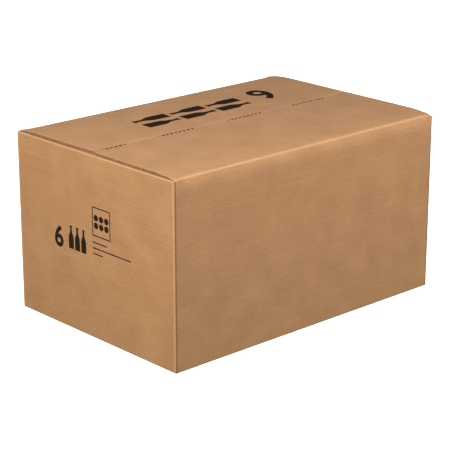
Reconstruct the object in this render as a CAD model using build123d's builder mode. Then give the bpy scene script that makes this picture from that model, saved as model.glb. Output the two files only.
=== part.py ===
"""Shipping carton of corrugated board for six lying bottles, with its two-layer card fitment.

Units are millimetres. The origin is the middle of the underside, +X runs along the length,
+Y points to the back wall and +Z points up. The carton stands closed.
"""

import os
from math import asin, degrees, sqrt

from build123d import *

os.makedirs("parts", exist_ok=True)

# Bottles that the fitment is cut for
bottle_diameter = 78.0
bottle_length = 330.0
neck_diameter = 32.0
bottles_per_layer = 3

# Corrugated board and its flutes
board = 4.0
liner = 0.5
flute_pitch = 6.6
flute_web = 0.7  # slanted medium between two flute mouths, measured along the edge
flute_taper = 0.64  # how far a mouth widens towards its own liner
flute_mouth_depth = 8.0

# Fitment: seats, crush zones and clearances
seat_clearance = 2.0  # all round a bottle
cell_web = 12.0  # card left between two neighbouring body seats
seat_mouth_radius = 4.0
crush_zone = 13.5  # below and above each bottle
end_zone = 38.0  # between an end stop and the end wall
bottle_play = 3.0  # between a bottle's end and the end stop
neck_seat_inset = 40.0  # from a bottle's mouth to the cradle under its neck
lap_clearance = 0.2  # on each side of a half-lapped card
fitment_clearance = 1.0  # between the fitment and the walls
headroom = 2.0  # above the upper layer

# Carton: folds, slots and gaps
upright_fold_radius = 3.0
flap_fold_radius = 3.6
fold_gap = 0.15  # left in the mitre where an outer top flap meets its wall
seam_gap = 1.6  # between two outer flaps
flap_setback = 2.0  # from an end wall's face to the outer flaps' side edges
inner_flap_gap = 3.5  # slot beside an inner flap
joint_slit = 2.0  # where the two ends of the sheet meet
glue_tab_width = 35.0
glue_tab_taper = 9.0  # how far each end of the glue tab slopes
glue_tab_inset = 4.0  # from the inner flaps to the glue tab's ends

# Fitment sizes that follow from the bottles
body_seat = bottle_diameter + 2 * seat_clearance
neck_seat = neck_diameter + 2 * seat_clearance
cell_pitch = body_seat + cell_web
fitment_width = bottles_per_layer * cell_pitch
layer_height = bottle_diameter + 2 * crush_zone
lap_height = layer_height / 2
slot_width = board + 2 * lap_clearance
end_stop_place = bottle_length / 2 + bottle_play + board / 2
neck_cradle_place = bottle_length / 2 - neck_seat_inset
fitment_length = 2 * (end_stop_place + board / 2 + end_zone)

# Carton sizes that follow from the fitment
inside_length = fitment_length + 2 * fitment_clearance
inside_width = fitment_width + 2 * fitment_clearance
carton_length = inside_length + 2 * board
carton_width = inside_width + 2 * board
lower_base = 2 * board
pad_base = lower_base + layer_height
upper_base = pad_base + board
carton_height = upper_base + layer_height + headroom + 2 * board
half_length = carton_length / 2
half_width = carton_width / 2
outer_flap_length = carton_length - 2 * flap_setback
inner_flap_reach = half_width
inner_flap_width = inside_width - 2 * inner_flap_gap

# Places of the cells, the dividers between them and the cards across them
cell_places = [(i - (bottles_per_layer - 1) / 2) * cell_pitch for i in range(bottles_per_layer)]
divider_places = [(a + b) / 2 for a, b in zip(cell_places, cell_places[1:])]
cross_places = [-end_stop_place, -neck_cradle_place, 0, neck_cradle_place, end_stop_place]

# Carton: walls, glue tab, inner top flaps and bottom flaps, one folded sheet
with BuildPart() as carton:
    # Ring of four walls between the flap folds
    with BuildSketch(Plane.XY.offset(2 * board)):
        Rectangle(carton_length, carton_width)
        Rectangle(inside_length, inside_width, mode=Mode.SUBTRACT)
    extrude(amount=carton_height - 4 * board)

    # Front and back walls run on to the outer folds, mitred where the top flaps hinge
    gap_angle = degrees(asin(fold_gap / flap_fold_radius))
    with BuildSketch(Plane.YZ):
        with BuildLine():
            top_fold = CenterArc(
                (flap_fold_radius - half_width, carton_height - flap_fold_radius),
                flap_fold_radius,
                180,
                gap_angle - 45,
            )
            bottom_fold = CenterArc(
                (flap_fold_radius - half_width, flap_fold_radius), flap_fold_radius, 180, 90
            )
            Line(bottom_fold @ 0, top_fold @ 0)
            Polyline(
                top_fold @ 1,
                (board - half_width, carton_height - board - fold_gap * sqrt(2)),
                (board - half_width, 0),
                bottom_fold @ 1,
            )
        make_face()
        mirror(about=Plane.YZ)
    extrude(amount=half_length, both=True)

    # End walls fold into the inner flaps, one board below and above the outer ones
    with BuildSketch(Plane.XZ):
        with BuildLine():
            Polyline(
                (inner_flap_reach - half_length, carton_height - board),
                (-half_length, carton_height - board),
                (-half_length, board),
                (inner_flap_reach - half_length, board),
                (inner_flap_reach - half_length, 2 * board),
                (board - half_length, 2 * board),
                (board - half_length, carton_height - 2 * board),
                (inner_flap_reach - half_length, carton_height - 2 * board),
                close=True,
            )
        end_wall = make_face()
        fillet(end_wall.vertices().group_by(Axis.X)[0], flap_fold_radius)
        mirror(about=Plane.YZ)
    extrude(amount=inner_flap_width / 2, both=True)

    # Outer bottom flaps, glued to the inner ones
    bottom_flap_reach = half_width - seam_gap / 2 - flap_fold_radius
    with BuildSketch():
        for side in (-1, 1):
            with Locations((0, side * (seam_gap + bottom_flap_reach) / 2)):
                Rectangle(outer_flap_length, bottom_flap_reach)
    extrude(amount=board)

    # Upright folds are rounded over the full height
    with BuildSketch():
        RectangleRounded(carton_length, carton_width, upright_fold_radius)
    extrude(amount=carton_height, mode=Mode.INTERSECT)

    # Glue tab of the back wall, inside the right end wall, and the slit where the sheet's ends meet
    tab_low = 2 * board + glue_tab_inset
    tab_high = carton_height - 2 * board - glue_tab_inset
    tab_root = half_width - board
    with BuildSketch(Plane.YZ.offset(half_length - 2 * board)):
        with BuildLine():
            Polyline(
                (tab_root, tab_low),
                (tab_root, tab_high),
                (tab_root - glue_tab_width, tab_high - glue_tab_taper),
                (tab_root - glue_tab_width, tab_low + glue_tab_taper),
                close=True,
            )
        make_face()
    extrude(amount=board)
    with BuildSketch(Plane.XY.offset(2 * board)):
        with Locations((half_length - board / 2, tab_root - joint_slit / 2)):
            Rectangle(board, joint_slit)
    extrude(amount=carton_height - 4 * board, mode=Mode.SUBTRACT)

carton.part.label = "carton"
export_step(carton.part, "parts/carton.step")

# Flute mouths along a free edge: upper and lower voids take turns, the medium slants between them
flute_room = board - 2 * liner
flute_height = flute_room - liner
flute_count = int((outer_flap_length - flute_pitch) / flute_pitch)
mouth_mean = (flute_pitch / 2 - flute_web) / 2
mouth_wide = mouth_mean * (1 + flute_taper)
mouth_narrow = mouth_mean * (1 - flute_taper)
upper_mouth = [
    (-mouth_wide, flute_room / 2),
    (mouth_wide, flute_room / 2),
    (mouth_narrow, flute_room / 2 - flute_height),
    (-mouth_narrow, flute_room / 2 - flute_height),
]
lower_mouth = [(x, -z) for x, z in reversed(upper_mouth)]
front_edge = Plane(
    origin=(0, -seam_gap / 2, carton_height - board / 2), x_dir=(-1, 0, 0), z_dir=(0, 1, 0)
)

# Front outer top flap: mitred at its fold, fluted free edge at the seam
with BuildPart() as top_flap_front:
    with BuildSketch(Plane.YZ):
        with BuildLine():
            fold = CenterArc(
                (flap_fold_radius - half_width, carton_height - flap_fold_radius),
                flap_fold_radius,
                135,
                -45,
            )
            Polyline(
                fold @ 1,
                (-seam_gap / 2, carton_height),
                (-seam_gap / 2, carton_height - board),
                (board - half_width, carton_height - board),
                fold @ 0,
            )
        make_face()
    extrude(amount=outer_flap_length / 2, both=True)
    with BuildSketch(front_edge):
        with GridLocations(flute_pitch, flute_pitch, flute_count, 1):
            Polygon(*upper_mouth, align=None)
        with GridLocations(flute_pitch, flute_pitch, flute_count - 1, 1):
            Polygon(*lower_mouth, align=None)
    extrude(amount=-flute_mouth_depth, mode=Mode.SUBTRACT)

top_flap_front.part.label = "top_flap_front"
export_step(top_flap_front.part, "parts/top_flap_front.step")

# Back outer top flap, the front one's mirror image
with BuildPart() as top_flap_back:
    mirror(top_flap_front.part, about=Plane.XZ)

top_flap_back.part.label = "top_flap_back"
export_step(top_flap_back.part, "parts/top_flap_back.step")


def long_divider(y_place, base):
    """Card along the carton, with slots open at the top for the cards that cross it."""
    with BuildPart() as card:
        with BuildSketch(Plane.XZ.offset(-y_place)):
            with Locations((0, base + layer_height / 2)):
                Rectangle(fitment_length, layer_height)
            for x_place in cross_places:
                with Locations((x_place, base + (lap_height + layer_height) / 2)):
                    Rectangle(slot_width, layer_height - lap_height, mode=Mode.SUBTRACT)
        extrude(amount=board / 2, both=True)
    return card


def cross_card(x_place, base, seats):
    """Card across the carton: bottle seats open at the top, divider slots open at the bottom."""
    with BuildPart() as card:
        with BuildSketch(Plane.YZ.offset(x_place)) as outline:
            with Locations((0, base + layer_height / 2)):
                Rectangle(fitment_width, layer_height)
            for y_place, seat in zip(cell_places, seats):
                with Locations((y_place, base + layer_height / 2)):
                    Circle(seat / 2, mode=Mode.SUBTRACT)
                with Locations((y_place, base + 3 * layer_height / 4)):
                    Rectangle(seat, layer_height / 2, mode=Mode.SUBTRACT)
            if seats:
                mouth_corners = outline.vertices().group_by(Axis.Y)[-1].sort_by(Axis.X)[1:-1]
                fillet(mouth_corners, min(seat_mouth_radius, cell_web / 3))
            for y_place in divider_places:
                with Locations((y_place, base + lap_height / 2)):
                    Rectangle(slot_width, lap_height, mode=Mode.SUBTRACT)
        extrude(amount=board / 2, both=True)
    return card


# Bottles lie head to tail, so body and neck seats take turns along the outer cradles
left_seats = [body_seat if i % 2 == 0 else neck_seat for i in range(bottles_per_layer)]
right_seats = [neck_seat if i % 2 == 0 else body_seat for i in range(bottles_per_layer)]
middle_seats = [body_seat] * bottles_per_layer
no_seats = []
cross_cards = {
    "end_stop_left": (-end_stop_place, no_seats),
    "cradle_left": (-neck_cradle_place, left_seats),
    "cradle_middle": (0, middle_seats),
    "cradle_right": (neck_cradle_place, right_seats),
    "end_stop_right": (end_stop_place, no_seats),
}

# Two layers of the fitment, the upper one on the layer pad
for layer, base in {"lower": lower_base, "upper": upper_base}.items():
    for number, y_place in enumerate(divider_places, start=1):
        divider = long_divider(y_place, base)
        name = f"{layer}_divider_{number}"
        divider.part.label = name
        export_step(divider.part, f"parts/{name}.step")
    for place, (x_place, seats) in cross_cards.items():
        card = cross_card(x_place, base, seats)
        name = f"{layer}_{place}"
        card.part.label = name
        export_step(card.part, f"parts/{name}.step")

# Layer pad between the two layers, short enough to pass the glue tab
pad_end_clearance = board + fitment_clearance
with BuildPart() as layer_pad:
    with BuildSketch(Plane.XY.offset(pad_base)):
        Rectangle(inside_length - 2 * pad_end_clearance, fitment_width)
    extrude(amount=board)

layer_pad.part.label = "layer_pad"
export_step(layer_pad.part, "parts/layer_pad.step")
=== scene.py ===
import math
from contextlib import contextmanager

import bmesh
import bpy
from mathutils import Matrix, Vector


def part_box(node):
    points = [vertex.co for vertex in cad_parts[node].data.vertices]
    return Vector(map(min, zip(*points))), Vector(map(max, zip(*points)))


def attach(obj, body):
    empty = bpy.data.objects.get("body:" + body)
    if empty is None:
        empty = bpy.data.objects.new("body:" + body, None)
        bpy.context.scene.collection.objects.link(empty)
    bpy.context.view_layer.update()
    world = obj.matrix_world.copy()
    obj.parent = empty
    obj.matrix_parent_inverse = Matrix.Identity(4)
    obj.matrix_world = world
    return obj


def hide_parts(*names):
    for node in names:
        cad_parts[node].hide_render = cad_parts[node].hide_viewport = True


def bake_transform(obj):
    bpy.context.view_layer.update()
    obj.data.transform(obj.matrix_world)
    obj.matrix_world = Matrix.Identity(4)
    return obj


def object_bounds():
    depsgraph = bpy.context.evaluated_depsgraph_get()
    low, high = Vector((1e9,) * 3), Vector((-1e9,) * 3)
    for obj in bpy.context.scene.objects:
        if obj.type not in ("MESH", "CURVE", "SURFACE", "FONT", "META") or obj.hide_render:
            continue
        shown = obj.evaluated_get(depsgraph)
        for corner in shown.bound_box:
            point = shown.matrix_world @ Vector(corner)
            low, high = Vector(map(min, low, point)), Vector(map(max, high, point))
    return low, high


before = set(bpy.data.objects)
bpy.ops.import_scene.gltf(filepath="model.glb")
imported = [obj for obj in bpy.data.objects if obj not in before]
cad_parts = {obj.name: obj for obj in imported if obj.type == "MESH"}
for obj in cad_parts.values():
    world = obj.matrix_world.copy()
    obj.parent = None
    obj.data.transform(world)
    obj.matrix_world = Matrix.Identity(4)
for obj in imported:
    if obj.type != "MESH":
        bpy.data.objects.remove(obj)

MM = 0.001

# Sizes read from the frame, in metres
cad_low, cad_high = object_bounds()
half_length = cad_high.x
half_width = cad_high.y
height = cad_high.z
flap_low, flap_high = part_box("top_flap_front")
board = flap_high.z - flap_low.z
flap_side = flap_high.x
seam_half = -flap_high.y

# Corrugated board
liner = 0.45 * MM
medium = 0.4 * MM
flute_pitch = 6.6 * MM
flute_slices = 8
tunnel_share = 0.42  # half the width of a tunnel in the board, as a share of the pitch
crushed_root = 42 * MM  # flutes are pressed shut this far from a flap's fold
mouth_depth = 12 * MM  # how far the mouths of the inner flaps' flutes go in

# Folds and slots of the carton
wall_strip = 20 * MM  # top of a wall, which is modelled with its flap
fold_radius = 1.4 * MM
corner_radius = 1.3 * MM
fold_steps = 6
smooth_angle = math.radians(30)  # edges that turn more than this stay sharp
wall_lean = 5.5 * MM  # how far the line of a wall is pulled in at the carton's full height
wall_levels = [level * MM for level in (6, 8, 10, 12, 14.5, 17)]  # rows of the leaning wall, from the top
lean_lag = 1.3 * MM  # the inner liner leans in this much less
fold_drop = 3.3 * MM  # a flap is pressed flat at its fold
corner_drops = ((0, 0.7 * MM), (3 * MM, 0.2 * MM))  # corners sink further: distance from the side, drop
corner_reach = 8 * MM  # how far back and down a corner sinks
flap_rows = [row * MM for row in (9, 13, 18, 24, 31, 40)]  # rows of the pressed root, from the wall
flap_rims = [rim * MM for rim in (3, 7, 12, 18)]  # rows beside a flap's side edge
undercut = 1.2 * MM  # cut side edges slant in below
fray = 0.9 * MM  # dips of a free edge between its flutes
seam_touch = 0.75 * MM  # a free edge stands this far out towards the other flap, apart from its dips
highlight_and_rub_reach = 3.2 * MM  # how far the pale mark at a fold or edge reaches: rub wear plus a painted highlight
crease_shade_reach = 1.9 * MM  # how far the painted shade line of an upright crease reaches
crease_shade_place = 1.4 * MM  # the painted shade line lies this far round the corner, on the long wall
seam_sink = 1.5 * MM  # the front flap's free edge sinks up to this much between its flutes
sink_reach = 6 * MM  # how far back from the free edge it sinks
sink_share = 0.36  # half the width of a sink, as a share of the pitch
gape_waves = (110 * MM, 37 * MM)  # the seam gapes in stretches: lengths of the two waves that set where
seam_notches = ((-1, 4.2 * MM), (1, 0.8 * MM))  # worn corners of the free edges, left and right
flap_skew = 1.5 * MM  # the back flap sits a little askew
inside_length = half_length - board
slot_side = half_width - board
inner_flap_room = 3.5 * MM  # beside an inner flap
bottom_flap_room = 0.5 * MM  # beside an outer bottom flap
inner_flap_side = slot_side - inner_flap_room
bottom_flap_side = inside_length - bottom_flap_room
inner_flap_reach = half_width
sheet_gap = 0.15 * MM  # between two sheets that lie on each other
joint_slit = 2 * MM
glue_tab_width = 35 * MM
glue_tab_inset = 4 * MM
glue_tab_taper = 9 * MM

# Fitment: seats for lying bottles and the slots of the half laps
body_seat = 82 * MM
neck_seat = 36 * MM
cell_pitch = 94 * MM
seat_mouth_radius = 4 * MM
seat_flare = 5.5 * MM
slot_width = 4.4 * MM
spare = 5 * MM  # how far a cutter runs past what it cuts

# Paper
kraft_streak_length = 80 * MM
kraft_streak_gap = 2.5 * MM
cloud_size = 40 * MM
fleck_size = 2.5 * MM
relief_depth = 0.3 * MM

# Print: plain marks for six bottles that lie head to tail
ink_height = 0.06 * MM
numeral_height = 28 * MM
end_numeral_place = (-67 * MM, 101 * MM)
end_bottle_size = (9.5 * MM, 29 * MM)
end_bottle_places = [(-43 * MM, 103 * MM), (-31 * MM, 103 * MM), (-19 * MM, 103 * MM)]
end_frame = ((-1.5 * MM, 130 * MM), (32 * MM, 166 * MM))
end_frame_line = 1.4 * MM
end_disc_radius = 4 * MM
end_bars = ((-1.5 * MM, 26 * MM, 122 * MM), (-1.5 * MM, 69 * MM, 115 * MM), (-1.5 * MM, 17 * MM, 108 * MM))
end_bar_height = 1.5 * MM
top_bottle_size = (17 * MM, 54 * MM)
top_bottle_pitch = (60 * MM, 24 * MM)
top_bottle_middle = (8 * MM, -57 * MM)
top_numeral_height = 50 * MM
top_numeral_place = (-121 * MM, -88 * MM)
shoulder_share, neck_share, lip_share = 0.54, 0.7, 0.94  # levels of a bottle, as shares of its height
neck_width_share = 0.36
figure_size = 1.28  # size of the lettering that gives a figure of height 1
figure_weight = 1 / 30  # stroke added all round a figure, as a share of its height
disc_step = 2.4  # from disc to disc, in radii

# Camera at the photograph's viewing angle, fitted to the carton's corners
camera_lens = 133.0
camera_azimuth, camera_elevation = -42.53, 18.34
camera_target = (-3.0 * MM, 2.8 * MM, 94.9 * MM)
camera_distance = 2097.7 * MM
floor_size = 12  # wide enough to fill the view


# Modelling helpers
def only(piece):
    """Make a piece the one that is selected and active."""
    bpy.ops.object.select_all(action="DESELECT")
    piece.select_set(True)
    bpy.context.view_layer.objects.active = piece


@contextmanager
def editing(piece):
    """Edit mode on one piece."""
    only(piece)
    bpy.ops.object.mode_set(mode="EDIT")
    yield
    bpy.ops.object.mode_set(mode="OBJECT")


def settle(piece, name):
    """Name a new piece and put its place into its mesh."""
    only(piece)
    piece.name = name
    piece.data.name = name
    bpy.ops.object.transform_apply(location=True, rotation=True, scale=True)
    return piece


def block(name, corner_a, corner_b):
    """Block between two opposite corners."""
    a, b = Vector(corner_a), Vector(corner_b)
    size = [abs(u - v) for u, v in zip(a, b)]
    bpy.ops.object.select_all(action="DESELECT")
    bpy.ops.mesh.primitive_cube_add(size=1, location=(a + b) / 2, scale=size)
    return settle(bpy.context.object, name)


def pick(piece, kind, test):
    """Select the faces, edges or points whose middle and direction pass the test."""
    bpy.ops.mesh.select_mode(type=kind)
    bpy.ops.mesh.select_all(action="DESELECT")
    mesh = bmesh.from_edit_mesh(piece.data)
    if kind == "FACE":
        for face in mesh.faces:
            face.select = bool(test(face.calc_center_median(), face.normal))
    elif kind == "EDGE":
        for edge in mesh.edges:
            a, b = (point.co for point in edge.verts)
            edge.select = bool(test((a + b) / 2, (b - a).normalized()))
    else:
        for point in mesh.verts:
            point.select = bool(test(point.co, point.normal))
    mesh.select_flush_mode()
    bmesh.update_edit_mesh(piece.data)


def near(a, b):
    return abs(a - b) < 0.02 * MM


def slice_at(axis, places):
    """Cut the whole mesh in edit mode by planes across one axis."""
    for place in places:
        point, normal = Vector(), Vector()
        point[axis] = place
        normal[axis] = 1
        bpy.ops.mesh.select_all(action="SELECT")
        bpy.ops.mesh.bisect(plane_co=point, plane_no=normal)


def push(move):
    """Extrude what is selected."""
    bpy.ops.mesh.extrude_region_move(TRANSFORM_OT_translate={"value": move})


def shift(move):
    """Move what is selected."""
    bpy.ops.transform.translate(value=move)


def both(place):
    return (-place, place)


def finish_with(piece, kind, **settings):
    """Add a modifier and apply it."""
    only(piece)
    modifier = piece.modifiers.new(kind.title(), kind)
    for key, value in settings.items():
        setattr(modifier, key, value)
    bpy.ops.object.modifier_apply(modifier=modifier.name)


def weld(name, pieces):
    """Join pieces into one object."""
    only(pieces[0])
    for piece in pieces[1:]:
        piece.select_set(True)
    bpy.ops.object.join()
    pieces[0].name = name
    return pieces[0]


def carve(piece, cutter):
    """Cut one piece out of another; the cut faces take the cutter's material."""
    finish_with(
        piece,
        "BOOLEAN",
        object=cutter,
        operation="DIFFERENCE",
        solver="EXACT",
        material_mode="TRANSFER",
    )
    bpy.data.objects.remove(cutter)


def copy_of(piece, name, move):
    """Copy with a mesh of its own, moved to its place."""
    only(piece)
    bpy.ops.object.duplicate()
    twin = bpy.context.object
    twin.location = move
    return settle(twin, name)


# Colours and nodes
def linear(code):
    """Linear colour of an sRGB hex value."""
    parts = [int(code[i : i + 2], 16) / 255 for i in (1, 3, 5)]
    return [c / 12.92 if c <= 0.04045 else ((c + 0.055) / 1.055) ** 2.4 for c in parts] + [1.0]


def add(tree, kind, inputs, **settings):
    """Add a node, set its properties, and set or link its inputs."""
    node = tree.nodes.new(kind)
    for key, value in settings.items():
        setattr(node, key, value)
    for key, value in inputs.items():
        if isinstance(value, bpy.types.NodeSocket):
            tree.links.new(value, node.inputs[key])
        else:
            node.inputs[key].default_value = value
    return node


def new_material(name):
    material = bpy.data.materials.new(name)
    material.use_nodes = True
    return material, material.node_tree, material.node_tree.nodes["Principled BSDF"]


def kraft_liner():
    """Unbleached kraft liner off the paper machine: matt brown, long streaks, clouds and flute shadows."""
    material, tree, surface = new_material("kraft_liner")
    blank = add(tree, "ShaderNodeUVMap", {}, uv_map="blank").outputs["UV"]

    # Streaks run with the paper machine
    squeeze = (1 / kraft_streak_length, 1 / kraft_streak_gap, 1)
    stretch = add(tree, "ShaderNodeMapping", {"Vector": blank, "Scale": squeeze})
    streaks = add(
        tree,
        "ShaderNodeTexNoise",
        {"Vector": stretch.outputs["Vector"], "Scale": 1.0, "Detail": 3.0, "Roughness": 0.6},
    )
    # Clouds of fibre
    clouds = add(tree, "ShaderNodeTexNoise", {"Vector": blank, "Scale": 1 / cloud_size, "Detail": 2.0})
    # Fibres are finer than a pixel, so they are drawn as wider flecks
    flecks = add(
        tree,
        "ShaderNodeTexNoise",
        {"Vector": blank, "Scale": 1 / fleck_size, "Detail": 3.0, "Roughness": 0.7},
    )
    # Washboard: the liner sinks a little between the tips of the flutes
    washboard = add(
        tree,
        "ShaderNodeTexWave",
        {"Vector": blank, "Scale": math.pi / (10 * flute_pitch)},
        wave_type="BANDS",
        bands_direction="X",
    )
    tone = 0.5
    parts = ((streaks, 0.45), (clouds, 0.6), (flecks, 1.0), (washboard, 0.03))
    for texture, share in parts:
        middle = add(tree, "ShaderNodeMath", {0: texture.outputs["Fac"], 1: 0.5}, operation="SUBTRACT")
        sum_node = add(
            tree,
            "ShaderNodeMath",
            {0: middle.outputs[0], 1: share, 2: tone},
            operation="MULTIPLY_ADD",
        )
        tone = sum_node.outputs[0]
    colour = add(
        tree,
        "ShaderNodeMix",
        {0: tone, 6: linear("#946A44"), 7: linear("#BE9065")},
        data_type="RGBA",
        clamp_factor=True,
    )
    # Folds and free edges are paler, partly by rub wear and partly by a painted highlight; upright folds get
    # a painted shade line in their crease
    shades = (
        # pale at folds and free edges: rub wear plus a painted highlight
        ("highlight_and_rub_distance", highlight_and_rub_reach, 0.45, "#D6AE88"),
        # dark line in an upright crease: painted shade
        ("crease_shade_distance", crease_shade_reach, 1.0, "#683F20"),
    )
    patches = add(tree, "ShaderNodeMath", {0: flecks.outputs["Fac"], 1: 0.25}, operation="ADD")
    for attribute, reach, share, shade in shades:
        distance = add(tree, "ShaderNodeAttribute", {}, attribute_name=attribute)
        touch = add(
            tree,
            "ShaderNodeMapRange",
            {"Value": distance.outputs["Fac"], "From Max": reach, "To Min": share, "To Max": 0.0},
            interpolation_type="SMOOTHSTEP",
        )
        broken = add(
            tree,
            "ShaderNodeMath",
            {0: touch.outputs["Result"], 1: patches.outputs[0]},
            operation="MULTIPLY",
        )
        colour = add(
            tree,
            "ShaderNodeMix",
            {0: broken.outputs[0], 6: colour.outputs[2], 7: linear(shade)},
            data_type="RGBA",
        )
    tree.links.new(colour.outputs[2], surface.inputs["Base Color"])
    rough = add(tree, "ShaderNodeMapRange", {"Value": flecks.outputs["Fac"], "To Min": 0.92, "To Max": 0.74})
    tree.links.new(rough.outputs["Result"], surface.inputs["Roughness"])
    surface.inputs["Specular IOR Level"].default_value = 0.3
    surface.inputs["Sheen Weight"].default_value = 0.035
    surface.inputs["Sheen Roughness"].default_value = 0.5
    relief = add(
        tree,
        "ShaderNodeMath",
        {0: washboard.outputs["Fac"], 1: 0.5, 2: flecks.outputs["Fac"]},
        operation="MULTIPLY_ADD",
    )
    bump = add(
        tree,
        "ShaderNodeBump",
        {"Height": relief.outputs[0], "Strength": 0.12, "Distance": relief_depth},
    )
    tree.links.new(bump.outputs["Normal"], surface.inputs["Normal"])
    return material


def plain_paper(name, dark, light, streak_length, streak_gap, fleck, roughness):
    """Paper seen on the inside or on a cut: matt, flecked, faintly streaked."""
    material, tree, surface = new_material(name)
    place = add(tree, "ShaderNodeTexCoord", {}).outputs["Object"]
    squeeze = (1 / streak_length, 1 / streak_length, 1 / streak_gap)
    stretch = add(tree, "ShaderNodeMapping", {"Vector": place, "Scale": squeeze})
    streaks = add(
        tree, "ShaderNodeTexNoise", {"Vector": stretch.outputs["Vector"], "Scale": 1.0, "Detail": 3.0}
    )
    flecks = add(
        tree, "ShaderNodeTexNoise", {"Vector": place, "Scale": 1 / fleck, "Detail": 3.0, "Roughness": 0.7}
    )
    tone = add(
        tree,
        "ShaderNodeMath",
        {0: streaks.outputs["Fac"], 1: flecks.outputs["Fac"]},
        operation="ADD",
    )
    share = add(tree, "ShaderNodeMapRange", {"Value": tone.outputs[0], "From Min": 0.6, "From Max": 1.4})
    colour = add(
        tree,
        "ShaderNodeMix",
        {0: share.outputs["Result"], 6: linear(dark), 7: linear(light)},
        data_type="RGBA",
    )
    tree.links.new(colour.outputs[2], surface.inputs["Base Color"])
    surface.inputs["Roughness"].default_value = roughness
    surface.inputs["Specular IOR Level"].default_value = 0.25
    bump = add(
        tree, "ShaderNodeBump", {"Height": flecks.outputs["Fac"], "Strength": 0.15, "Distance": relief_depth}
    )
    tree.links.new(bump.outputs["Normal"], surface.inputs["Normal"])
    return material


def flexo_ink():
    """Water-based flexo ink printed on the liner: matt brown-black, a little thin where the board gives."""
    material, tree, surface = new_material("flexo_ink")
    place = add(tree, "ShaderNodeTexCoord", {}).outputs["Object"]
    thin = add(tree, "ShaderNodeTexNoise", {"Vector": place, "Scale": 1 / (3 * MM), "Detail": 3.0})
    colour = add(
        tree,
        "ShaderNodeMix",
        {0: thin.outputs["Fac"], 6: linear("#120B07"), 7: linear("#2C1D13")},
        data_type="RGBA",
    )
    tree.links.new(colour.outputs[2], surface.inputs["Base Color"])
    surface.inputs["Roughness"].default_value = 0.7
    surface.inputs["Specular IOR Level"].default_value = 0.3
    return material


kraft = kraft_liner()
# Inner liner of recycled fibre: greyer and flatter than the outside
test_liner = plain_paper("test_liner", "#8F6A45", "#AC855C", 70 * MM, 3 * MM, 2.5 * MM, 0.88)
# Cut edge of the board: torn fibre, darker partly in its own colour and partly by painted shade of its pores
# and grooves
cut_edge = plain_paper("cut_edge", "#6A4A30", "#AE8660", 6 * MM, 1.2 * MM, 1.5 * MM, 0.92)
# Fluting medium inside the board: thin dull brown paper
fluting = plain_paper("fluting_medium", "#6E4E30", "#8C683F", 20 * MM, 4 * MM, 2 * MM, 0.9)
ink = flexo_ink()


# Board
def flute_row(name, pitch, count, run):
    """Tunnels between the medium and its liners, side by side across X, running along Y from zero."""
    room = board / 2 - liner
    swing = room - medium / 2
    half_span = tunnel_share * pitch
    tunnel = block(name, (-half_span, 0, -room), (half_span, run, room))
    slices = [half_span * (2 * i / flute_slices - 1) for i in range(flute_slices + 1)]
    with editing(tunnel):
        slice_at(0, slices[1:-1])
        for place in slices:
            pick(tunnel, "VERT", lambda at, to: near(at.x, place) and at.z < 0)
            shift((0, 0, room - swing * (1 + math.cos(2 * math.pi * place / pitch)) + room))
    tunnel.data.materials.append(fluting)
    under = copy_of(tunnel, "under", (0, 0, 0))
    under.rotation_euler = (0, math.pi, 0)
    under.location = (pitch / 2, 0, 0)
    settle(under, "under")
    for part, number in ((tunnel, count + 1), (under, count)):
        finish_with(
            part,
            "ARRAY",
            count=number,
            use_relative_offset=False,
            use_constant_offset=True,
            constant_offset_displace=(pitch, 0, 0),
        )
    row = weld(name, [tunnel, under])
    row.location.x = -pitch * count / 2
    return settle(row, name)


def place_row(row, turn, move):
    """Turn a row of tunnels about the origin and move it into its board."""
    row.rotation_euler = turn
    row.location = move
    return settle(row, row.name)


def flutes_across(span):
    """How many whole flutes fit a span, and their pitch there."""
    count = round(span / flute_pitch)
    return count, span / count


def lay_flat(piece, flap_axis):
    """UV map of the flat blank in metres: U runs round the carton, V along the flutes."""
    layer = piece.data.uv_layers.new(name="blank")
    for face in piece.data.polygons:
        normal = face.normal
        level = abs(normal.z) > max(abs(normal.x), abs(normal.y))
        upright_end = abs(normal.x) > abs(normal.y)
        for corner in face.loop_indices:
            at = piece.data.vertices[piece.data.loops[corner].vertex_index].co
            if level and flap_axis == 1:
                place = (at.x, height + half_width - abs(at.y) + (at.y > 0))
            elif level:
                place = (at.y + 2, height + half_length - abs(at.x) + (at.x > 0))
            elif upright_end:
                place = (at.y + 2, at.z + (at.x > 0))
            else:
                place = (at.x, at.z + (at.y > 0))
            layer.data[corner].uv = place


def mark_folds(piece, is_flap):
    """Attributes with each point's distance to a fold or edge that gets the pale mark of rub wear and painted
    highlight, and to an upright fold that gets a painted shade line.
    """
    highlights_and_rubs = piece.data.attributes.new("highlight_and_rub_distance", "FLOAT", "POINT")
    crease_shades = piece.data.attributes.new("crease_shade_distance", "FLOAT", "POINT")
    fold_lean = lean_at(fold_drop)
    for point, highlight_and_rub, crease_shade in zip(piece.data.vertices, highlights_and_rubs.data, crease_shades.data):
        at = point.co
        in_x, in_y = half_length - abs(at.x), half_width - abs(at.y)
        if is_flap:
            # painted highlight and rub wear along the fold, the side edges and the free edge
            fold = math.hypot(in_y - fold_lean, height - fold_drop - at.z)
            free_edge = 2 * (abs(at.y) - seam_half + seam_touch)
            highlight_and_rub.value = min(fold, flap_side - abs(at.x), free_edge)
        else:
            # painted highlight and rub wear along the end walls' top folds and upright edges
            highlight_and_rub.value = min(math.hypot(in_x, height - board - at.z), math.hypot(in_x, in_y - corner_radius))
        # painted shade line in the upright crease, just round the corner on the long wall
        crease_shade.value = math.hypot(in_x - crease_shade_place, in_y)


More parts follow.
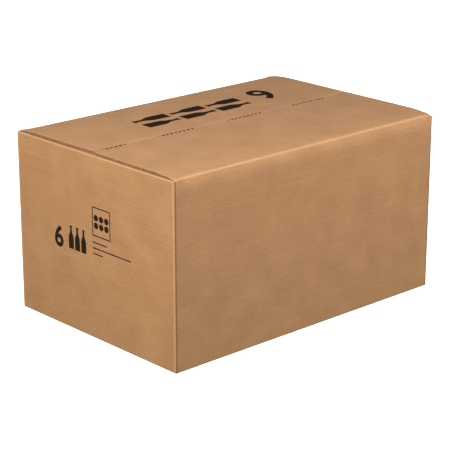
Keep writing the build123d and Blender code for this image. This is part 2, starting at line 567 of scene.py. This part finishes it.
# Carton: one slotted and folded sheet
def make_shell():
    """Walls, inner top flaps, bottom flaps and glue tab; the outer top flaps are pieces of their own."""
    wall_top, fold_level = height - wall_strip, height - board - sheet_gap
    shell = block("carton_shell", (-half_length, -half_width, 0), (half_length, half_width, wall_top))
    for material in (kraft, cut_edge, test_liner):
        shell.data.materials.append(material)
    with editing(shell):
        # Four walls
        pick(shell, "FACE", lambda at, to: abs(to.z) > 0.9)
        bpy.ops.mesh.inset(thickness=board)
        bpy.ops.mesh.bridge_edge_loops()
        slice_at(0, [*both(flap_side), *both(bottom_flap_side)])
        slice_at(1, [*both(slot_side), *both(inner_flap_side)])
        slice_at(2, [board, board + sheet_gap, 2 * board + sheet_gap])
        # End walls and corner posts rise to the inner folds
        pick(
            shell,
            "FACE",
            lambda at, to: near(at.z, wall_top)
            and abs(at.x) > (inside_length if abs(at.y) < slot_side else flap_side),
        )
        push((0, 0, fold_level - board - wall_top))
        push((0, 0, board))
        for side in (-1, 1):
            fold_flaps(shell, side, fold_level)
        round_folds(shell, fold_level)
        show_board(shell, fold_level)
    open_mouths(shell)
    glue_joint(shell)
    return shell


def fold_flaps(shell, side, fold_level):
    """Inner top flap, inner bottom flap and outer bottom flap of one side, drawn out of the walls."""
    for low in (fold_level - board, board + sheet_gap):
        pick(
            shell,
            "FACE",
            lambda at, to: near(at.x, side * inside_length)
            and low < at.z < low + board
            and abs(at.y) < inner_flap_side,
        )
        push((-side * (inner_flap_reach - board), 0, 0))
    pick(
        shell,
        "FACE",
        lambda at, to: near(at.y, side * slot_side) and at.z < board and abs(at.x) < bottom_flap_side,
    )
    push((0, -side * (slot_side - seam_half), 0))


def round_folds(shell, fold_level):
    """Round the outer side of every fold of the sheet."""

    def folded(at, along):
        end, side = near(abs(at.x), half_length), near(abs(at.y), half_width)
        return end and side or near(at.z, 0) and (end or side) or near(at.z, fold_level) and end

    pick(shell, "EDGE", folded)
    bpy.ops.mesh.bevel(offset=corner_radius, segments=fold_steps, profile=0.5)


def show_board(shell, fold_level):
    """Cut edges show torn fibre, and the inner liner faces the contents."""
    def raw(at, to):
        end = abs(to.x) > 0.9 and abs(at.x) < inside_length - spare / 2
        side = abs(to.y) > 0.9 and abs(at.y) < slot_side - spare / 4
        return end or side or to.z > 0.9 and near(at.z, height - wall_strip)

    def inner(at, to):
        wall = near(abs(at.x), inside_length) or near(abs(at.y), slot_side)
        upper = to.z < -0.9 and near(at.z, fold_level - board)
        return wall or upper or to.z > 0.9 and board / 2 < at.z < 3 * board

    for slot, test in ((1, raw), (2, inner)):
        pick(shell, "FACE", test)
        shell.active_material_index = slot
        bpy.ops.object.material_slot_assign()


def open_mouths(shell):
    """Open the flutes along the free edges of the inner top flaps."""
    count, pitch = flutes_across(2 * inner_flap_side)
    free_edge = half_length - inner_flap_reach
    level = height - 1.5 * board - sheet_gap
    for side in (-1, 1):
        row = flute_row("mouths", pitch, count - 1, mouth_depth + spare)
        start = side * (free_edge - spare)
        carve(shell, place_row(row, (0, 0, -side * math.pi / 2), (start, 0, level)))


def glue_joint(shell):
    """Glue tab of the back wall inside the right end wall, and the slit where the sheet's ends meet."""
    low, high = 2 * board + glue_tab_inset, height - 2 * board - glue_tab_inset
    inside = half_length - board
    slit = block(
        "slit", (inside - spare, slot_side - joint_slit, low), (inside + spare, slot_side - sheet_gap, high)
    )
    slit.data.materials.append(cut_edge)
    carve(shell, slit)
    outer, root = inside - sheet_gap, slot_side - sheet_gap
    tab = block("glue_tab", (outer - board, root - glue_tab_width, low), (outer, root, high))
    tab.data.materials.append(kraft)
    with editing(tab):
        for end, move in ((low, glue_tab_taper), (high, -glue_tab_taper)):
            pick(tab, "VERT", lambda at, to: near(at.z, end) and at.y < root - spare)
            shift((0, 0, move))
    weld("carton_shell", [shell, tab])


def lean_at(level):
    """How far a wall is pulled in, this far below the carton's full height."""
    return wall_lean * (1 - level / wall_strip) ** 2


def make_flap(name, side):
    """Outer top flap, with the top of the wall that it folds from and flutes open at its free edge."""
    wall, inside, free_edge = side * half_width, side * slot_side, side * seam_half
    flap = block(name, (-flap_side, wall, height - board), (flap_side, free_edge, height))
    for material in (kraft, cut_edge, test_liner):
        flap.data.materials.append(material)
    with editing(flap):
        # Top of the wall, drawn down from the underside
        pick(flap, "FACE", lambda at, to: to.z < -0.9)
        bpy.ops.mesh.bisect(plane_co=(0, inside, 0), plane_no=(0, 1, 0))
        pick(flap, "FACE", lambda at, to: to.z < -0.9 and abs(at.y) > slot_side)
        push((0, 0, board - wall_strip))
        pick(flap, "EDGE", lambda at, along: near(at.z, height - board) and abs(at.y) > slot_side + sheet_gap)
        bpy.ops.mesh.dissolve_edges()
        slice_at(0, [place for rim in flap_rims for place in both(flap_side - rim)])
        slice_at(1, [wall - side * row for row in flap_rows])
        slice_at(2, [height - level for level in wall_levels])
        press_fold(flap, side)
        trim_edges(flap, side)
        # Inside and cut edges of the board
        pick(flap, "FACE", lambda at, to: abs(to.x) > 0.7 or abs(at.y) < seam_half + fray)
        flap.active_material_index = 1
        bpy.ops.object.material_slot_assign()
        pick(flap, "FACE", lambda at, to: to.z < -0.9 or to.y * side < -0.7 and at.z < height - board)
        flap.active_material_index = 2
        bpy.ops.object.material_slot_assign()
    count, pitch = flutes_across(2 * (flap_side - flap_rims[-1]))
    row = flute_row("flutes", pitch, count - 1, half_width - crushed_root)
    turn = 0 if side < 0 else math.pi
    carve(flap, place_row(row, (0, 0, turn), (0, side * (half_width - crushed_root), height - board / 2)))
    if side < 0:
        sink_edge(flap, side)
    return flap


def press_fold(flap, side):
    """Press the flap's root flat, pull the wall in below it except at the corners, and round the fold."""
    wall, inside = side * half_width, side * slot_side
    for row in (0, *flap_rows):
        drop = fold_drop * (1 - row / flap_rows[-1]) ** 2
        pick(flap, "VERT", lambda at, to: near(at.z, height) and near(at.y, wall - side * row))
        shift((0, 0, -drop))
    for rim in (0, *flap_rims):
        reach = rim / flap_rims[-1]
        share = reach * reach * (3 - 2 * reach)
        for level in (fold_drop, board, *wall_levels):
            lean = share * lean_at(level)
            for face, lag in ((wall, 0), (inside, share * lean_lag)):
                pick(
                    flap,
                    "VERT",
                    lambda at, to: near(at.y, face)
                    and near(at.z, height - level)
                    and near(flap_side - abs(at.x), rim),
                )
                shift((0, -side * max(0, lean - lag), 0))
    pick(
        flap,
        "EDGE",
        lambda at, along: near(at.z, height - fold_drop)
        and abs(at.y) > slot_side - spare
        and abs(along.z) < 0.1,
    )
    bpy.ops.mesh.bevel(offset=fold_radius, segments=fold_steps, profile=0.5)
    for rim, drop in corner_drops:
        pick(
            flap,
            "VERT",
            lambda at, to: near(flap_side - abs(at.x), rim)
            and abs(at.y) > half_width - corner_reach
            and at.z > height - corner_reach,
        )
        shift((0, 0, -drop))


def seam_opening(place):
    """Share by which the seam gapes at a place along it, from 0 to 1."""
    long_wave, short_wave = (math.sin(2 * math.pi * place / length) for length in gape_waves)
    wave = long_wave + 0.5 * short_wave
    return min(1, max(0, 0.6 + 1.2 * wave))


def sink_edge(flap, side):
    """Sink the free edge of a flap between its flutes, so that the other flap's flutes show as dots."""
    span = flap_side - flap_rims[-1]
    count, pitch = flutes_across(2 * span)
    sink_half = sink_share * pitch
    with editing(flap):
        slice_at(1, [side * (seam_half + sink_reach)])
        # Cuts over the flutes' tips keep each sink to itself
        for flute in range(1, count):
            pick(flap, "FACE", lambda at, to: near(at.z, height) and abs(at.y) < seam_half + sink_reach)
            bpy.ops.mesh.bisect(plane_co=(flute * pitch - span, 0, 0), plane_no=(1, 0, 0))
        for step in range(1, 2 * count, 2):
            place = step * pitch / 2 - span
            thin = seam_sink * seam_opening(place)
            pick(
                flap,
                "VERT",
                lambda at, to: abs(at.y) < seam_half + 2 * fray and abs(at.x - place) < sink_half,
            )
            bpy.ops.transform.resize(value=(1, 1, 1 - thin / board), center_override=(0, 0, height - board))


def trim_edges(flap, side):
    """Wear the free corners, slant the lower half of the cut side edges, and wave the free edge."""
    pick(flap, "FACE", lambda at, to: abs(to.x) > 0.9 and at.z > height - board and abs(at.y) < slot_side)
    bpy.ops.mesh.bisect(plane_co=(0, 0, height - board / 2), plane_no=(0, 0, 1))
    for end, notch in seam_notches:
        pick(
            flap,
            "EDGE",
            lambda at, along: near(at.x, end * flap_side)
            and near(at.y, side * seam_half)
            and abs(along.z) > 0.9,
        )
        bpy.ops.mesh.bevel(offset=notch, segments=3, profile=0.5)
    if side > 0:
        pick(flap, "VERT", lambda at, to: at.x < spare - flap_side and abs(at.y) < seam_half + spare)
        shift((flap_skew, 0, 0))
    for end in (-1, 1):
        pick(
            flap,
            "VERT",
            lambda at, to: abs(at.x - end * flap_side) < 2 * flap_skew
            and near(at.z, height - board)
            and abs(at.y) < half_width - flap_rows[0],
        )
        shift((-end * undercut, 0, 0))
    free_edge, span = side * seam_half, flap_side - flap_rims[-1]
    count, pitch = flutes_across(2 * span)
    for cuts in (count - 1, 1):
        pick(
            flap,
            "EDGE",
            lambda at, along: near(at.y, free_edge) and abs(along.x) > 0.9 and abs(at.x) < span,
        )
        bpy.ops.mesh.subdivide(number_cuts=cuts, ngon=True)
    for step in range(1, 2 * count):
        place = step * pitch / 2 - span
        dip = fray * seam_opening(place) if step % 2 else 0
        pick(flap, "VERT", lambda at, to: abs(at.y) < slot_side and near(at.x, place))
        shift((0, side * (dip - seam_touch), 0))


# Print: thin closed shapes, drawn on the XY plane and then laid on the board
def bottle_mark(size, place, turn=0):
    """Outline of an upright bottle, its foot on the place given, or turned about it."""
    wide, tall = size
    shoulder, neck, lip = shoulder_share * tall, neck_share * tall, lip_share * tall
    mark = block("bottle", (-wide / 2, 0, -ink_height), (wide / 2, tall, ink_height))
    with editing(mark):
        slice_at(1, [shoulder, neck, lip])
        pick(mark, "VERT", lambda at, to: at.y > shoulder + spare / 10)
        bpy.ops.transform.resize(value=(neck_width_share, 1, 1), center_override=(0, 0, 0))
        # One face above and one below, so that the rounded corners stay clean
        pick(mark, "EDGE", lambda at, along: abs(along.x) > 0.9 and spare / 10 < at.y < tall - spare / 10)
        bpy.ops.mesh.dissolve_edges(use_verts=False)
        for level, offset in ((shoulder, wide / 4), (neck, wide / 4), (0, wide / 12)):
            pick(mark, "EDGE", lambda at, along: abs(along.z) > 0.9 and near(at.y, level))
            bpy.ops.mesh.bevel(offset=offset, segments=5, profile=0.5)
        for side in (-1, 1):
            pick(mark, "FACE", lambda at, to: to.x * side > 0.9 and at.y > lip)
            push((side * wide / 14, 0, 0))
    mark.rotation_euler.z = turn
    mark.location = (*place, 0)
    return settle(mark, "bottle")


def numeral_mark(figure, tall, place):
    """Plain bold figure, centred across the place and standing on it."""
    bpy.ops.object.select_all(action="DESELECT")
    bpy.ops.object.text_add()
    mark = bpy.context.object
    mark.data.body = figure
    mark.data.align_x = "CENTER"
    mark.data.size = figure_size * tall
    mark.data.offset = figure_weight * tall
    mark.data.extrude = ink_height
    bpy.ops.object.convert(target="MESH")
    mark = bpy.context.object
    with editing(mark):
        bpy.ops.mesh.select_all(action="SELECT")
        bpy.ops.mesh.remove_doubles(threshold=0.01 * MM)
    mark.location = (*place, 0)
    return settle(mark, "numeral")


def frame_mark(low, high):
    """Plain line frame round six discs, three by two."""
    frame_line = block("frame", (*low, -ink_height), (*high, ink_height))
    with editing(frame_line):
        pick(frame_line, "FACE", lambda at, to: abs(to.z) > 0.9)
        bpy.ops.mesh.inset(thickness=end_frame_line)
        bpy.ops.mesh.bridge_edge_loops()
    marks = [frame_line]
    middle = [(a + b) / 2 for a, b in zip(low, high)]
    step = disc_step * end_disc_radius
    for across in (-1, 0, 1):
        for up in (-0.5, 0.5):
            bpy.ops.object.select_all(action="DESELECT")
            bpy.ops.mesh.primitive_cylinder_add(
                vertices=32,
                radius=end_disc_radius,
                depth=2 * ink_height,
                location=(middle[0] + across * step, middle[1] + up * step, 0),
            )
            marks.append(settle(bpy.context.object, "disc"))
    return marks


def lay_print(name, marks, turn, place, body):
    """Join marks, lay them on the board and let them move with it."""
    for mark in marks:
        mark.data.materials.clear()
        mark.data.materials.append(ink)
    sheet = weld(name, marks)
    sheet.rotation_euler = turn
    sheet.location = place
    settle(sheet, name)
    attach(sheet, body)


def make_print():
    """Marks on the left end wall, and larger ones on the back flap that read from behind."""
    marks = [numeral_mark("6", numeral_height, end_numeral_place)]
    marks += [bottle_mark(end_bottle_size, place) for place in end_bottle_places]
    marks += frame_mark(*end_frame)
    for start, end, level in end_bars:
        bar_low, bar_high = level - end_bar_height / 2, level + end_bar_height / 2
        marks.append(block("bar", (start, bar_low, -ink_height), (end, bar_high, ink_height)))
    lay_print("print_end", marks, (math.pi / 2, 0, -math.pi / 2), (-half_length, 0, 0), "carton")

    marks = [numeral_mark("6", top_numeral_height, top_numeral_place)]
    tall = top_bottle_size[1]
    for column in (-1, 0, 1):
        for row in (-0.5, 0.5):
            turn = math.copysign(math.pi / 2, row)
            foot = column * top_bottle_pitch[0] + math.copysign(tall / 2, row)
            place = (top_bottle_middle[0] + foot, top_bottle_middle[1] + row * top_bottle_pitch[1])
            marks.append(bottle_mark(top_bottle_size, place, turn))
    lay_print("print_top", marks, (0, 0, math.pi), (0, 0, height), "back_flap")


# Fitment: half-lapped cards in two layers
def seat_cutter(name, y_place, seat, axis_level, top, thick, flares):
    """Cutter for a bottle's seat: a round bed, open at the top, its mouth corners flared on some sides."""
    bpy.ops.object.select_all(action="DESELECT")
    bpy.ops.mesh.primitive_cylinder_add(
        vertices=64,
        radius=seat / 2,
        depth=2 * thick,
        location=(0, y_place, axis_level),
        rotation=(0, math.pi / 2, 0),
    )
    cutter = settle(bpy.context.object, name)
    with editing(cutter):
        bpy.ops.mesh.select_all(action="SELECT")
        bpy.ops.mesh.bisect(
            plane_co=(0, 0, axis_level), plane_no=(0, 0, 1), use_fill=True, clear_outer=True
        )
        pick(cutter, "FACE", lambda at, to: to.z > 0.9)
        push((0, 0, top - axis_level))
        push((0, 0, spare))
        for side in flares:
            pick(cutter, "FACE", lambda at, to: to.y * side > 0.9 and at.z > top)
            push((0, side * seat_flare, 0))
            corner = y_place + side * seat / 2
            pick(cutter, "EDGE", lambda at, along: near(at.y, corner) and near(at.z, top))
            bpy.ops.mesh.bevel(offset=seat_mouth_radius, segments=fold_steps, profile=0.5)
    cutter.data.materials.append(cut_edge)
    return cutter


def slot_cutter(name, low, high):
    slot = block(name, low, high)
    slot.data.materials.append(cut_edge)
    return slot


def dress_card(card):
    """Cut faces of a card show its torn fibre; the broad faces are liner."""
    card.data.materials.append(test_liner)
    card.data.materials.append(cut_edge)


divider_places = [sum((c.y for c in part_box(f"lower_divider_{n}"))) / 2 for n in (1, 2)]
cross_names = ("end_stop_left", "cradle_left", "cradle_middle", "cradle_right", "end_stop_right")
cross_places = [sum((c.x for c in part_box(f"lower_{name}"))) / 2 for name in cross_names]
cell_places = (-cell_pitch, 0, cell_pitch)
seat_plan = {
    "end_stop": (),
    "cradle_left": (body_seat, neck_seat, body_seat),
    "cradle_middle": (body_seat, body_seat, body_seat),
    "cradle_right": (neck_seat, body_seat, neck_seat),
}


def make_cross_card(kind, node):
    """Card across the carton: seats open at the top, divider slots open at the bottom."""
    low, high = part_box(node)
    middle = (low + high) / 2
    thick = high.x - low.x
    card = block(node, (-thick / 2, low.y, low.z), (thick / 2, high.y, high.z))
    dress_card(card)
    count, pitch = flutes_across(high.y - low.y)
    row = flute_row("flutes", pitch, count - 1, high.z - low.z + 2 * spare)
    place_row(row, (math.pi / 2, 0, math.pi / 2), (0, 0, low.z - spare))
    carve(card, row)
    cutters = []
    for index, seat in enumerate(seat_plan[kind]):
        flares = [side for side in (-1, 1) if 0 <= index + side < len(seat_plan[kind])]
        cutters.append(
            seat_cutter(f"seat_{index}", cell_places[index], seat, middle.z, high.z, thick, flares)
        )
    half_slot = slot_width / 2
    for place in divider_places:
        slot_low = (-thick, place - half_slot, low.z - spare)
        slot_high = (thick, place + half_slot, middle.z)
        cutters.append(slot_cutter("slot", slot_low, slot_high))
    carve(card, weld("cutters", cutters))
    card.location.x = middle.x
    return settle(card, node)


def make_divider(node):
    """Card along the carton, with slots open at the top for the cards that cross it."""
    low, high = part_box(node)
    middle = (low + high) / 2
    thick = high.y - low.y
    card = block(node, (low.x, -thick / 2, low.z), (high.x, thick / 2, high.z))
    dress_card(card)
    count, pitch = flutes_across(high.x - low.x)
    row = flute_row("flutes", pitch, count - 1, high.z - low.z + 2 * spare)
    place_row(row, (math.pi / 2, 0, 0), (0, 0, low.z - spare))
    carve(card, row)
    half_slot = slot_width / 2
    cutters = [
        slot_cutter("slot", (place - half_slot, -thick, middle.z), (place + half_slot, thick, high.z + spare))
        for place in cross_places
    ]
    carve(card, weld("cutters", cutters))
    card.location.y = middle.y
    return settle(card, node)


def make_pad():
    """Loose sheet between the two layers, its flutes open at the front and back edges."""
    low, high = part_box("layer_pad")
    pad = block("layer_pad_board", low, high)
    dress_card(pad)
    count, pitch = flutes_across(high.x - low.x)
    row = flute_row("flutes", pitch, count - 1, high.y - low.y + 2 * spare)
    carve(pad, place_row(row, (0, 0, 0), (0, low.y - spare, (low.z + high.z) / 2)))
    return pad


def ride_in_carton(piece, node):
    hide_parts(node)
    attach(piece, "carton")


def make_fitment():
    """Both layers: each kind of card is modelled once and copied."""
    cards = {}
    for kind in seat_plan:
        node = f"lower_{kind}_left" if kind == "end_stop" else f"lower_{kind}"
        cards[node] = make_cross_card(kind, node)
    cards["lower_divider_1"] = make_divider("lower_divider_1")
    twins = {"lower_end_stop_right": "lower_end_stop_left", "lower_divider_2": "lower_divider_1"}
    for node, first in twins.items():
        cards[node] = copy_of(cards[first], node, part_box(node)[0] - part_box(first)[0])
    for node in list(cards):
        upper = node.replace("lower", "upper")
        cards[upper] = copy_of(cards[node], upper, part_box(upper)[0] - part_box(node)[0])
    for node, card in cards.items():
        card.name = node + "_card"
        smooth(card)
        ride_in_carton(card, node)
    pad = make_pad()
    smooth(pad)
    ride_in_carton(pad, "layer_pad")


def smooth(piece):
    """Round what is rounded and keep broad faces flat up to their edges."""
    only(piece)
    bpy.ops.object.shade_smooth_by_angle(angle=smooth_angle)
    finish_with(piece, "WEIGHTED_NORMAL", keep_sharp=True)


# Stage, light and camera
def make_floor():
    """Plain pale floor that sends no light back up the walls."""
    bpy.ops.object.select_all(action="DESELECT")
    bpy.ops.mesh.primitive_plane_add(size=floor_size)
    floor = settle(bpy.context.object, "floor")
    material, tree, surface = new_material("pale_floor")
    surface.inputs["Base Color"].default_value = linear("#F2F2F2")
    surface.inputs["Roughness"].default_value = 0.9
    surface.inputs["Emission Color"].default_value = linear("#FFFFFF")
    surface.inputs["Emission Strength"].default_value = 1.0
    floor.data.materials.append(material)
    floor.visible_diffuse = False
    floor.visible_glossy = False


def towards(azimuth, elevation):
    """Direction from the carton to a viewer; azimuth 0 looks along +Y."""
    a, e = math.radians(azimuth), math.radians(elevation)
    return Vector((math.sin(a) * math.cos(e), -math.cos(a) * math.cos(e), math.sin(e)))


def softbox(name, azimuth, elevation, distance, wide, tall, power, tint="#FFFFFF"):
    """Large soft light aimed at the middle of the carton."""
    light = bpy.data.lights.new(name, "AREA")
    light.shape = "RECTANGLE"
    light.size = wide
    light.size_y = tall
    light.energy = power
    light.color = linear(tint)[:3]
    lamp = bpy.data.objects.new(name, light)
    back = towards(azimuth, elevation)
    lamp.location = Vector((0, 0, height / 2)) + back * distance
    lamp.rotation_euler = back.to_track_quat("Z", "Y").to_euler()
    bpy.context.scene.collection.objects.link(lamp)
    return lamp


def make_light():
    """Soft boxes on all four sides, and a white backdrop that only the camera sees."""
    softbox(
        "softbox_left", azimuth=-76, elevation=34, distance=1.5, wide=0.8, tall=1.3, power=32, tint="#FFFDF8"
    )
    softbox("softbox_front", azimuth=15, elevation=28.5, distance=1.4, wide=0.7, tall=1.1, power=19.5)
    # Low lights for the other two sides leave no shine on the top
    for name, azimuth in (("softbox_right", 100), ("softbox_back", 187)):
        lamp = softbox(name, azimuth, elevation=5, distance=1.4, wide=1.0, tall=0.42, power=12)
        lamp.visible_glossy = False
    world = bpy.data.worlds.new("backdrop")
    world.use_nodes = True
    world.node_tree.nodes["Background"].inputs["Color"].default_value = (1, 1, 1, 1)
    world.cycles_visibility.diffuse = False
    world.cycles_visibility.glossy = False
    bpy.context.scene.world = world
    bpy.context.scene.view_settings.view_transform = "Standard"


def make_camera():
    """Camera without shift, aimed at its target."""
    data = bpy.data.cameras.new("camera")
    data.sensor_width = 36
    data.lens = camera_lens
    camera = bpy.data.objects.new("camera", data)
    back = towards(camera_azimuth, camera_elevation)
    camera.location = Vector(camera_target) + back * camera_distance
    camera.rotation_euler = back.to_track_quat("Z", "Y").to_euler()
    bpy.context.scene.collection.objects.link(camera)
    bpy.context.scene.camera = camera


shell = make_shell()
lay_flat(shell, 0)
mark_folds(shell, False)
smooth(shell)
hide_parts("carton")
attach(shell, "carton")
for name, side in (("front", -1), ("back", 1)):
    flap = make_flap(f"flap_{name}", side)
    lay_flat(flap, 1)
    mark_folds(flap, True)
    smooth(flap)
    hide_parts(f"top_flap_{name}")
    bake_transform(flap)
make_print()
make_fitment()
make_floor()
make_light()
make_camera()
